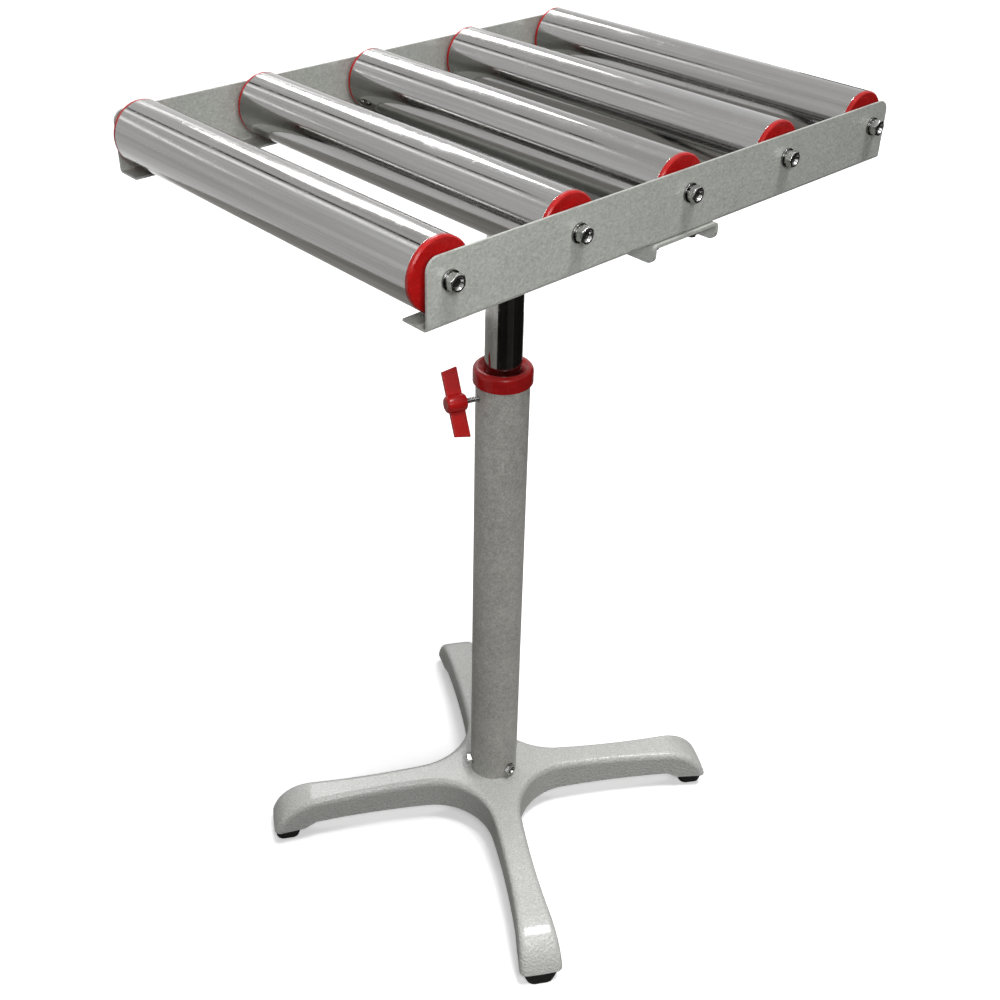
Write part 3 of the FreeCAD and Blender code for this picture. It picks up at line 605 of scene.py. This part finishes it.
def moulded(name, colour, wear_colour, gloss, coat, grain):
    """Moulded plastic or rubber: faint flow clouds, a fine skin and paler rubbed edges."""
    settings = bpy.context.scene.stand_moulded
    material, tree, shader, place = new_material(name)
    wear_share = 0.45
    scratch_share = 0.3
    smear_dulling = 0.15
    marbling = tree.group("Flow Marks", Vector=place, Size=settings.flow_size)
    worn = tree.group("Worn Edge", Vector=place, Width=0.0006, Breakup=240.0)
    marks = tree.group("Handling Marks", Vector=place, Scale=48.0, Amount=0.6)
    flow = marbling["Flow"]
    base = tree.blend(tree.span(flow, low=0.36, high=0.66), colour, shade(colour, 0.80))
    base = tree.blend(tree.math("MULTIPLY", worn["Mask"], wear_share), base, wear_colour)
    base = tree.blend(tree.math("MULTIPLY", marks["Scratch"], scratch_share), base, wear_colour)
    tree.set(shader.inputs["Base Color"], base)
    rough = tree.span(flow, low=0.3, high=0.7, to_low=gloss * 0.85, to_high=gloss * 1.2)
    rough = tree.math("ADD", rough, tree.math("MULTIPLY", marks["Smear"], smear_dulling))
    tree.set(shader.inputs["Roughness"], rough)
    shader.inputs["Specular IOR Level"].default_value = 0.2
    shader.inputs["Coat Weight"].default_value = coat
    shader.inputs["Coat Roughness"].default_value = gloss * 0.5
    tree.set(shader.inputs["Normal"], bump(tree, marbling["Height"], grain, worn["Normal"]))
    return material


def dress(material, *names):
    """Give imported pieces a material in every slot."""
    for name in names:
        piece = nodes[name]
        if not piece.material_slots:
            piece.data.materials.append(material)
        for slot in piece.material_slots:
            slot.material = material


def skin(name, rings, closed):
    """Object whose surface runs through rings of as many points each.

    A closed skin joins its last ring to its first, and any other gets a cap at each end.
    """
    count = len(rings[0])
    corners = [point for ring in rings for point in ring]
    faces = []
    last = len(rings) if closed else len(rings) - 1
    for row in range(last):
        below = row * count
        above = (row + 1) % len(rings) * count
        for column in range(count):
            right = (column + 1) % count
            faces.append((below + column, below + right, above + right, above + column))
    if not closed:
        faces.append(tuple(reversed(range(count))))
        faces.append(tuple(range(len(corners) - count, len(corners))))
    mesh = bpy.data.meshes.new(name)
    mesh.from_pydata(corners, [], faces)
    mesh.shade_smooth()
    mesh.update()
    piece = bpy.data.objects.new(name, mesh)
    bpy.context.scene.collection.objects.link(piece)
    return piece


def add_replacement(piece, node, body, material):
    """Let a new piece stand for a packed one and ride on its body."""
    piece.data.materials.append(material)
    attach(piece, body)
    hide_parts(node)


def make_clamp_screw(detail, material):
    """Clamp screw with its thread, and the dog that carries the pad."""
    low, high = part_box("clamp_screw")
    nut_low, nut_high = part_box("clamp_nut")
    middle = (nut_low + nut_high) / 2
    outward = Vector((middle.x, middle.y, 0)).normalized()
    upward = Vector((0, 0, 1))
    sideways = upward.cross(outward)
    start, end = along("clamp_screw", outward)
    radius = (high.z - low.z) / 2
    dog_end = along("clamp_pad", outward)[1]
    dog_share = 0.6
    dog_radius = radius * dog_share
    dog_chamfer = 0.2 * MILLIMETRE
    thread_start = dog_end + detail.clamp_pitch
    steps_a_turn = 20
    rows_a_turn = 6
    rows = [(start, dog_radius, False), (dog_end - dog_chamfer, dog_radius, False)]
    place = dog_end
    while place < end:
        rows.append((place, radius, place > thread_start))
        place += detail.clamp_pitch / rows_a_turn
    rows.append((end, radius, False))
    rings = []
    for distance, row_radius, threaded in rows:
        ring = []
        for step in range(steps_a_turn):
            share = step / steps_a_turn
            angle = 2 * math.pi * share
            phase = (distance / detail.clamp_pitch - share) % 1.0
            groove = detail.thread_depth * (1 - abs(2 * phase - 1)) if threaded else 0.0
            reach = row_radius - groove
            round_about = sideways * math.cos(angle) + upward * math.sin(angle)
            ring.append(outward * distance + upward * middle.z + round_about * reach)
        rings.append(ring)
    add_replacement(skin("clamp_screw_thread", rings, False), "clamp_screw", "clamp", material)


def make_weld_bead(detail, material):
    """Hand-laid bead between post and saddle: a ring of overlapping ripples."""
    low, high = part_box("post_weld")
    post_low, post_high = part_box("inner_post")
    inner = (post_high.x - post_low.x) / 2
    outer = (high.x - low.x) / 2
    leg = outer - inner
    steps_a_ripple = 8
    points_a_section = 9
    wander_share = 0.06
    wander_waves = 3
    wander_phase = 0.7
    toe_share = 0.80
    hollow_share = 0.14
    steps = detail.weld_ripples * steps_a_ripple
    rings = []
    for step in range(steps):
        angle = 2 * math.pi * step / steps
        share = step % steps_a_ripple / steps_a_ripple
        swell = detail.weld_ripple_depth * (math.sqrt(1 - (2 * share - 1) ** 2) - 1.0)
        wander = wander_share * leg * math.sin(wander_waves * angle + wander_phase)
        ring = [(inner, high.z)]
        for point in range(points_a_section):
            lean = math.pi / 2 * point / (points_a_section - 1)
            reach = leg * (toe_share - hollow_share * math.sin(2 * lean)) + swell + wander
            ring.append((inner + reach * math.cos(lean), high.z - reach * math.sin(lean)))
        rings.append([
            Vector((across * math.cos(angle), across * math.sin(angle), height))
            for across, height in ring
        ])
    add_replacement(skin("post_weld_bead", rings, True), "post_weld", "head", material)


class STAND_OT_base(bpy.types.Operator):
    """Enamel the cast cross base"""

    bl_idname = "stand.base"
    bl_label = "Cast base"

    def execute(self, context):
        paint = context.scene.stand_paint
        enamel = painted(
            "base_enamel", tuple(paint.base_colour), mottle=paint.base_mottle, specks=1.0,
            gloss=0.34, coat=0.45, peel=1.3 * MILLIMETRE, wear=0.5,
        )
        dress(enamel, "base_casting")
        return {"FINISHED"}


class STAND_OT_column(bpy.types.Operator):
    """Paint the column tube"""

    bl_idname = "stand.column"
    bl_label = "Column tube"

    def execute(self, context):
        paint = context.scene.stand_paint
        hammered = painted(
            "column_paint", tuple(paint.column_colour), mottle=paint.column_mottle, specks=1.5,
            gloss=0.40, coat=0.25, peel=0.6 * MILLIMETRE, wear=0.6,
        )
        dress(hammered, "column_tube")
        return {"FINISHED"}


class STAND_OT_rails(bpy.types.Operator):
    """Paint both rails and the saddle"""

    bl_idname = "stand.rails"
    bl_label = "Rails and saddle"

    def execute(self, context):
        paint = context.scene.stand_paint
        sheet = painted(
            "rail_paint", tuple(paint.rail_colour), mottle=paint.rail_mottle, specks=0.9,
            gloss=0.34, coat=0.35, peel=0.4 * MILLIMETRE, wear=0.4,
        )
        dress(sheet, "rail_front", "rail_rear", "saddle_channel")
        return {"FINISHED"}


class STAND_OT_rollers(bpy.types.Operator):
    """Give the roller tubes their drawn and plated steel"""

    bl_idname = "stand.rollers"
    bl_label = "Roller tubes"

    def execute(self, context):
        metal = context.scene.stand_metal
        steel = drawn_metal(
            "roller_steel", tuple(metal.roller_colour), tuple(metal.roller_stain),
            stretch=(1.0, 0.012, 1.0), spacing=metal.roller_line, gloss=0.10, tint_share=0.55,
            depth=0.012 * MILLIMETRE,
        )
        dress(steel, *named("roller_tube_"))
        return {"FINISHED"}


class STAND_OT_post(bpy.types.Operator):
    """Give the post its chrome, the snap ring its spring steel and the weld its beads"""

    bl_idname = "stand.post"
    bl_label = "Post"

    def execute(self, context):
        metal = context.scene.stand_metal
        chrome = drawn_metal(
            "post_chrome", tuple(metal.chrome_colour), tuple(metal.chrome_stain),
            stretch=(1.0, 1.0, 0.008), spacing=metal.post_line, gloss=0.07, tint_share=0.8,
            depth=0.01 * MILLIMETRE,
        )
        dress(chrome, "inner_post")
        spring = plated("snap_ring_steel", tuple(metal.spring_colour), gloss=0.3)
        dress(spring, "post_snap_ring")
        bead = plated("weld_steel", tuple(metal.weld_colour), gloss=0.5)
        make_weld_bead(context.scene.stand_detail, bead)
        return {"FINISHED"}


class STAND_OT_red_parts(bpy.types.Operator):
    """Mould the end caps, the collar bush and the wing handle in red plastic"""

    bl_idname = "stand.red_parts"
    bl_label = "Red plastic"

    def execute(self, context):
        mould = context.scene.stand_moulded
        red = moulded(
            "red_plastic", tuple(mould.red_colour), tuple(mould.red_wear),
            gloss=0.28, coat=0.12, grain=0.05 * MILLIMETRE,
        )
        dress(red, "collar_bush", "wing_handle", *named("roller_caps_"))
        return {"FINISHED"}


class STAND_OT_rubber_and_nylon(bpy.types.Operator):
    """Give the feet their rubber, and the plug, bush and pad their nylon"""

    bl_idname = "stand.rubber_and_nylon"
    bl_label = "Rubber and nylon"

    def execute(self, context):
        mould = context.scene.stand_moulded
        rubber = moulded(
            "black_rubber", tuple(mould.rubber_colour), tuple(mould.rubber_wear),
            gloss=0.62, coat=0.0, grain=0.12 * MILLIMETRE,
        )
        dress(rubber, *named("rubber_foot_"))
        nylon = {"gloss": 0.4, "coat": 0.1, "grain": 0.05 * MILLIMETRE}
        black = moulded("black_nylon", tuple(mould.black_colour), tuple(mould.black_wear), **nylon)
        dress(black, "post_end_plug")
        white = moulded("white_nylon", tuple(mould.white_colour), tuple(mould.white_wear), **nylon)
        dress(white, "post_guide_bush", "clamp_pad")
        return {"FINISHED"}


class STAND_OT_fasteners(bpy.types.Operator):
    """Plate the bolts, washers, nuts and screws"""

    bl_idname = "stand.fasteners"
    bl_label = "Fasteners"

    def execute(self, context):
        zinc = plated("zinc_steel", tuple(context.scene.stand_metal.zinc_colour), gloss=0.22)
        names = (
            "axle_bolts", "axle_plain_washers", "axle_spring_washers", "column_bolts",
            "saddle_bolts", "saddle_washers", "saddle_nuts", "foot_screws", "clamp_nut",
        )
        dress(zinc, *names)
        make_clamp_screw(context.scene.stand_detail, zinc)
        return {"FINISHED"}


class STAND_OT_axles(bpy.types.Operator):
    """Give the axles, spacers and bearings their steel"""

    bl_idname = "stand.axles"
    bl_label = "Axles and bearings"

    def execute(self, context):
        metal = context.scene.stand_metal
        steel = drawn_metal(
            "axle_steel", tuple(metal.axle_colour), tuple(metal.axle_stain),
            stretch=(1.0, 0.02, 1.0), spacing=metal.axle_line, gloss=0.28, tint_share=0.6,
            depth=0.02 * MILLIMETRE,
        )
        dress(steel, "axle_spacers", *named("roller_axle_"))
        bearing = plated("bearing_steel", tuple(metal.bearing_colour), gloss=0.16)
        dress(bearing, "bearing_inner_rings", *named("roller_bearings_"))
        return {"FINISHED"}


def seen_directly(tree):
    """1 for rays from the camera, mirrors and glass, which see the plain background."""
    path = tree.add("ShaderNodeLightPath").outputs
    seen = tree.math("MAXIMUM", path["Is Camera Ray"], path["Is Glossy Ray"])
    return tree.math("MAXIMUM", seen, path["Is Transmission Ray"])


def make_world(studio):
    """Soft fill light, behind a white background that only the camera and reflections see."""
    world = bpy.data.worlds.new("Studio")
    world.use_nodes = True
    tree = Tree(world.node_tree)
    fill = world.node_tree.nodes["Background"]
    fill.inputs["Color"].default_value = WHITE
    fill.inputs["Strength"].default_value = studio.world_strength
    backdrop = tree.add("ShaderNodeBackground", {"Color": WHITE, "Strength": 1.0})
    either = tree.add("ShaderNodeMixShader")
    tree.set(either.inputs[0], seen_directly(tree))
    tree.set(either.inputs[1], fill.outputs[0])
    tree.set(either.inputs[2], backdrop.outputs[0])
    tree.set(world.node_tree.nodes["World Output"].inputs["Surface"], either.outputs[0])
    bpy.context.scene.world = world


def add_stage(name, corners, faces, material):
    """A piece of the studio, which is no part of the stand."""
    mesh = bpy.data.meshes.new(name)
    mesh.from_pydata(corners, [], faces)
    mesh.materials.append(material)
    piece = bpy.data.objects.new(name, mesh)
    bpy.context.scene.collection.objects.link(piece)
    return piece


def make_floor(studio):
    """Pale floor just under the feet, which the picture shows overexposed but for its shadow."""
    half = studio.floor_size / 2
    low = -0.2 * MILLIMETRE
    corners = [(-half, -half, low), (half, -half, low), (half, half, low), (-half, half, low)]
    material, tree, shader, _ = new_material("Studio floor")
    shader.inputs["Roughness"].default_value = 0.85
    shader.inputs["Specular IOR Level"].default_value = 0.1
    bounce = (studio.floor_bounce,) * 3
    tree.set(shader.inputs["Base Color"], tree.blend(seen_directly(tree), bounce, WHITE))
    shader.inputs["Emission Color"].default_value = WHITE
    watched = tree.add("ShaderNodeLightPath").outputs["Is Camera Ray"]
    tree.set(shader.inputs["Emission Strength"], tree.math("MULTIPLY", watched, studio.floor_glow))
    add_stage("studio_floor", corners, [(0, 1, 2, 3)], material)


def cloth_material(name, dark, light):
    """Uneven matt cloth of a studio flag."""
    material, tree, shader, place = new_material(name)
    clouds = tree.group("Cloth Clouds", Vector=place, Scale=5.0)
    tree.set(shader.inputs["Base Color"], tree.blend(clouds["Mask"], dark, light))
    shader.inputs["Roughness"].default_value = 0.9
    return material


def add_flag(name, corners, faces, material):
    """A cloth that only polished surfaces show."""
    flag = add_stage(name, corners, faces, material)
    flag.visible_camera = False
    flag.visible_diffuse = False
    flag.visible_shadow = False
    flag.visible_transmission = False


def wall_faces(corners):
    """Panels between pairs of corners, low and high, along a wall."""
    return [(k, k + 1, k + 3, k + 2) for k in range(0, len(corners) - 2, 2)]


def make_flags(studio):
    """Dark cloth round the front, grey cloth round the feet, and a dark card above the rollers."""
    panels = 64
    faded_inset = 0.99
    black = cloth_material("Black cloth", tuple(studio.black_dark), tuple(studio.black_light))
    pale = cloth_material("Faded cloth", tuple(studio.faded_dark), tuple(studio.faded_light))
    grey = cloth_material("Grey cloth", tuple(studio.grey_dark), tuple(studio.grey_light))
    wall = []
    for step in range(panels + 1):
        angle = studio.flag_start + studio.flag_sweep * step / panels
        x = studio.flag_radius * math.cos(angle)
        y = studio.flag_radius * math.sin(angle)
        wall += [(x, y, 0.0), (x, y, studio.flag_height)]
    add_flag("front_flag", wall, wall_faces(wall), black)
    faded = wall[2 * studio.faded_start:2 * studio.faded_end + 2]
    faded = [(faded_inset * x, faded_inset * y, z) for x, y, z in faded]
    add_flag("faded_flag", faded, wall_faces(faded), pale)
    rim = []
    for step in range(panels):
        angle = 2 * math.pi * step / panels
        rim.append((studio.cloth_radius * math.cos(angle), studio.cloth_radius * math.sin(angle), 0.0))
    add_flag("floor_cloth", rim, [tuple(range(panels))], grey)
    x, y, z = studio.card_place
    half_width = studio.card_size[0] / 2
    half_length = studio.card_size[1] / 2
    card = [
        (x - half_width, y - half_length, z), (x + half_width, y - half_length, z),
        (x + half_width, y + half_length, z), (x - half_width, y + half_length, z),
    ]
    add_flag("overhead_card", card, [(0, 1, 2, 3)], black)


def add_lamp(name, lamp, place, toward):
    """A lamp whose back is turned the given way, so that it shines from there."""
    holder = bpy.data.objects.new(name, lamp)
    holder.location = place
    holder.rotation_mode = "QUATERNION"
    holder.rotation_quaternion = toward.to_track_quat("Z", "Y")
    bpy.context.scene.collection.objects.link(holder)


def make_soft_boxes(studio):
    """Strips and a box behind for the streaks on the metal, and a light at the front left."""
    bed = Vector((0.0, 0.0, cad_box[1][2]))
    for name, power, sides, place, faces_down in (
        ("Strip light", studio.strip_power, studio.strip_size, studio.strip_place, False),
        ("Line light", studio.line_power, studio.line_size, studio.line_place, True),
        ("Soft box", studio.box_power, studio.box_size, studio.box_place, False),
        ("Front light", studio.front_power, studio.front_size, studio.front_place, False),
    ):
        lamp = bpy.data.lights.new(name, "AREA")
        lamp.shape = "RECTANGLE"
        lamp.size, lamp.size_y = sides
        lamp.energy = power
        place = Vector(place)
        toward = Vector((0.0, 0.0, 1.0)) if faces_down else place - bed
        add_lamp(name.lower().replace(" ", "_"), lamp, place, toward)


def make_key(studio):
    """Broad light from above and a little in front, so that bolts shade the rail below them."""
    lamp = bpy.data.lights.new("Overhead light", "SUN")
    lamp.energy = studio.key_strength
    lamp.angle = studio.key_softness
    toward = Vector(studio.key_toward)
    add_lamp("overhead_light", lamp, toward, toward)


def make_camera(studio):
    """Camera at the photograph's place and angle."""
    azimuth = studio.camera_azimuth
    elevation = studio.camera_elevation
    roll = studio.camera_roll
    back = Vector((
        math.sin(azimuth) * math.cos(elevation),
        -math.cos(azimuth) * math.cos(elevation),
        math.sin(elevation),
    ))
    level = Vector((math.cos(azimuth), math.sin(azimuth), 0))
    upright = back.cross(level)
    right = level * math.cos(roll) + upright * math.sin(roll)
    up = upright * math.cos(roll) - level * math.sin(roll)
    data = bpy.data.cameras.new("Camera")
    data.sensor_width = 36.0
    data.lens = studio.focal_share * data.sensor_width
    data.shift_x = 0.5 - studio.middle_x
    data.shift_y = studio.middle_y - 0.5
    camera = bpy.data.objects.new("camera", data)
    turn = Matrix((right, up, back)).transposed().to_4x4()
    camera.matrix_world = Matrix.Translation(Vector(studio.camera_place)) @ turn
    bpy.context.scene.collection.objects.link(camera)
    bpy.context.scene.camera = camera


class STAND_OT_studio(bpy.types.Operator):
    """Make the floor, the lights, the background and the camera"""

    bl_idname = "stand.studio"
    bl_label = "Studio"

    def execute(self, context):
        studio = context.scene.stand_studio
        make_world(studio)
        make_floor(studio)
        make_flags(studio)
        make_key(studio)
        make_soft_boxes(studio)
        make_camera(studio)
        context.scene.view_settings.view_transform = "Standard"
        return {"FINISHED"}


OPERATORS = (
    STAND_OT_studio, STAND_OT_base, STAND_OT_column, STAND_OT_rails, STAND_OT_rollers, STAND_OT_post,
    STAND_OT_red_parts, STAND_OT_rubber_and_nylon, STAND_OT_fasteners, STAND_OT_axles,
)


class STAND_PT_panel(bpy.types.Panel):
    """Finishes of the roller stand, in the order in which they are made"""

    bl_idname = "STAND_PT_panel"
    bl_label = "Roller Stand"
    bl_space_type = "VIEW_3D"
    bl_region_type = "UI"
    bl_category = "Roller Stand"

    def draw(self, context):
        for operator in OPERATORS:
            self.layout.operator(operator.bl_idname)
        for settings_name, settings in SETTINGS.items():
            box = self.layout.box()
            box.label(text=settings.__name__)
            for key in settings.__annotations__:
                box.prop(getattr(context.scene, settings_name), key)


def register():
    for name, settings in SETTINGS.items():
        bpy.utils.register_class(settings)
        setattr(bpy.types.Scene, name, PointerProperty(type=settings))
    for operator in OPERATORS:
        bpy.utils.register_class(operator)
    bpy.utils.register_class(STAND_PT_panel)


def unregister():
    bpy.utils.unregister_class(STAND_PT_panel)
    for operator in reversed(OPERATORS):
        bpy.utils.unregister_class(operator)
    for name, settings in SETTINGS.items():
        delattr(bpy.types.Scene, name)
        bpy.utils.unregister_class(settings)


def main():
    """Make the finishes and the studio."""
    register()
    build_groups()
    for operator in OPERATORS:
        family, name = operator.bl_idname.split(".")
        getattr(getattr(bpy.ops, family), name)()


if __name__ == "__main__":
    main()
